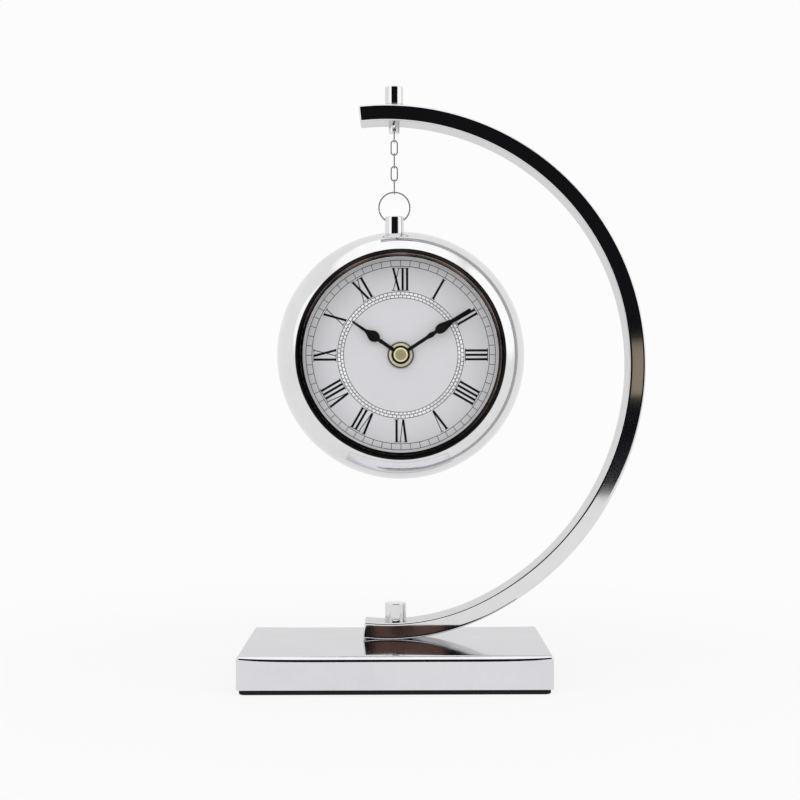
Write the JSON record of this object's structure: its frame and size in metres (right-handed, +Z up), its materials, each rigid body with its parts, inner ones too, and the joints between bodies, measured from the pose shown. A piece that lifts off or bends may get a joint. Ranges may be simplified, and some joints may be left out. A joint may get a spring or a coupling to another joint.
{
  "type": "hanging desk clock",
  "caption": "Round analogue clock with a bulging case, hung by a short chain and ring from a C-shaped flat-bar arch on a heavy rectangular base.",
  "frame": {"origin": "middle of the base pad's underside, where the clock stands", "axes": "+Z up, -Y towards the reader of the dial, +X to the right as the dial is read"},
  "size_m": [0.1886, 0.082, 0.2789],
  "materials": {
    "chrome_plate": "polished chrome plate",
    "black_chrome": "dark polished plate",
    "filler_board": "plain fibreboard",
    "pad": "black foam sheet",
    "zinc_steel": "zinc plated",
    "clear_glass": "clear",
    "silver_dial": "satin with printed marks",
    "black_plastic": "fine grain",
    "white_plastic": "smooth",
    "clear_gear_plastic": "natural",
    "brass": "turned",
    "gasket_rubber": "matt",
    "hand_metal": "black lacquer",
    "cell_skin": "plain wrapper",
    "contact_steel": "nickel plated",
    "board": "laminate",
    "copper_winding": "enamelled",
    "core_steel": "plain",
    "magnet": "dark"
  },
  "bodies": {
    "stand": {"base_shell": "chrome_plate", "base_block": "filler_board", "base_pad": "pad", "base_bolt": "zinc_steel", "base_washer": "zinc_steel", "arch_bar": "chrome_plate", "low_cap_nut": "chrome_plate", "top_cap_nut": "chrome_plate", "hanger_clevis": "chrome_plate", "hanger_pin": "zinc_steel"},
    "chain_1": {"link_1": "chrome_plate"},
    "chain_2": {"link_2": "chrome_plate"},
    "chain_3": {"link_3": "chrome_plate"},
    "chain_4": {"link_4": "chrome_plate"},
    "chain_5": {"link_5": "chrome_plate"},
    "ring": {"hanging_ring": "chrome_plate"},
    "head": {"crown": "chrome_plate", "crown_screw": "zinc_steel", "case_shell": "chrome_plate", "bezel_ring": "black_chrome", "glass_lens": "clear_glass", "dial_spacer": "white_plastic", "dial_plate": "silver_dial", "rear_cover": "black_plastic", "rear_cover_screws": "zinc_steel", "movement_housing": "black_plastic", "movement_cover": "black_plastic", "mounting_bush": "brass", "movement_gasket": "gasket_rubber", "dial_washer": "brass", "dial_nut": "brass", "battery": "cell_skin", "contact_plus": "contact_steel", "contact_minus": "contact_steel", "circuit_board": "board", "circuit_chip": "black_plastic", "quartz_crystal": "contact_steel", "coil": "copper_winding", "coil_core": "core_steel", "stator": "core_steel"},
    "minute": {"minute_arbor": "clear_gear_plastic", "minute_hand": "hand_metal", "hand_nut": "brass"},
    "hour": {"hour_wheel": "clear_gear_plastic", "hour_hand": "hand_metal"},
    "setting": {"minute_wheel": "clear_gear_plastic", "setting_knob": "white_plastic"},
    "motor": {"rotor": "magnet"}
  },
  "joints": [
    {"name": "link_1_swing", "type": "hinge", "parent": "stand", "child": "chain_1", "pos_m": [0.0002, 0.0115, 0.2587], "axis": [1, 0, 0], "range_deg": [-20, 20]},
    {"name": "link_2_swing", "type": "hinge", "parent": "chain_1", "child": "chain_2", "pos_m": [0.0002, 0.0115, 0.25271], "axis": [0, 1, 0], "range_deg": [-9, 25]},
    {"name": "link_3_swing", "type": "hinge", "parent": "chain_2", "child": "chain_3", "pos_m": [0.0002, 0.0115, 0.24654], "axis": [1, 0, 0], "range_deg": [-20, 20]},
    {"name": "link_4_swing", "type": "hinge", "parent": "chain_3", "child": "chain_4", "pos_m": [0.0002, 0.0115, 0.24037], "axis": [0, 1, 0], "range_deg": [-9, 25]},
    {"name": "link_5_swing", "type": "hinge", "parent": "chain_4", "child": "chain_5", "pos_m": [0.0002, 0.0115, 0.2342], "axis": [1, 0, 0], "range_deg": [-20, 20]},
    {"name": "ring_swing", "type": "hinge", "parent": "chain_5", "child": "ring", "pos_m": [0.0002, 0.0115, 0.22803], "axis": [0, 1, 0], "range_deg": [-9, 25]},
    {"name": "head_swing", "type": "hinge", "parent": "ring", "child": "head", "pos_m": [0.0002, 0.0115, 0.21407], "axis": [1, 0, 0], "range_deg": [-25, 25]},
    {"name": "minute_turn", "type": "hinge", "parent": "head", "child": "minute", "pos_m": [0.003, 0.01088, 0.15118], "axis": [0, 1, 0], "continuous": true},
    {"name": "hour_turn", "type": "hinge", "parent": "head", "child": "hour", "pos_m": [0.003, 0.01088, 0.15118], "axis": [0, 1, 0], "continuous": true},
    {"name": "setting_turn", "type": "hinge", "parent": "head", "child": "setting", "pos_m": [0.00917, 0.01088, 0.14383], "axis": [0, 1, 0], "continuous": true},
    {"name": "rotor_turn", "type": "hinge", "parent": "head", "child": "motor", "pos_m": [0.013, 0.01088, 0.16018], "axis": [0, 1, 0], "continuous": true}
  ],
  "couplings": [
    {"joint": "hour_turn", "follows": "minute_turn", "ratio": 0.083333},
    {"joint": "setting_turn", "follows": "minute_turn", "ratio": -0.33333}
  ]
}
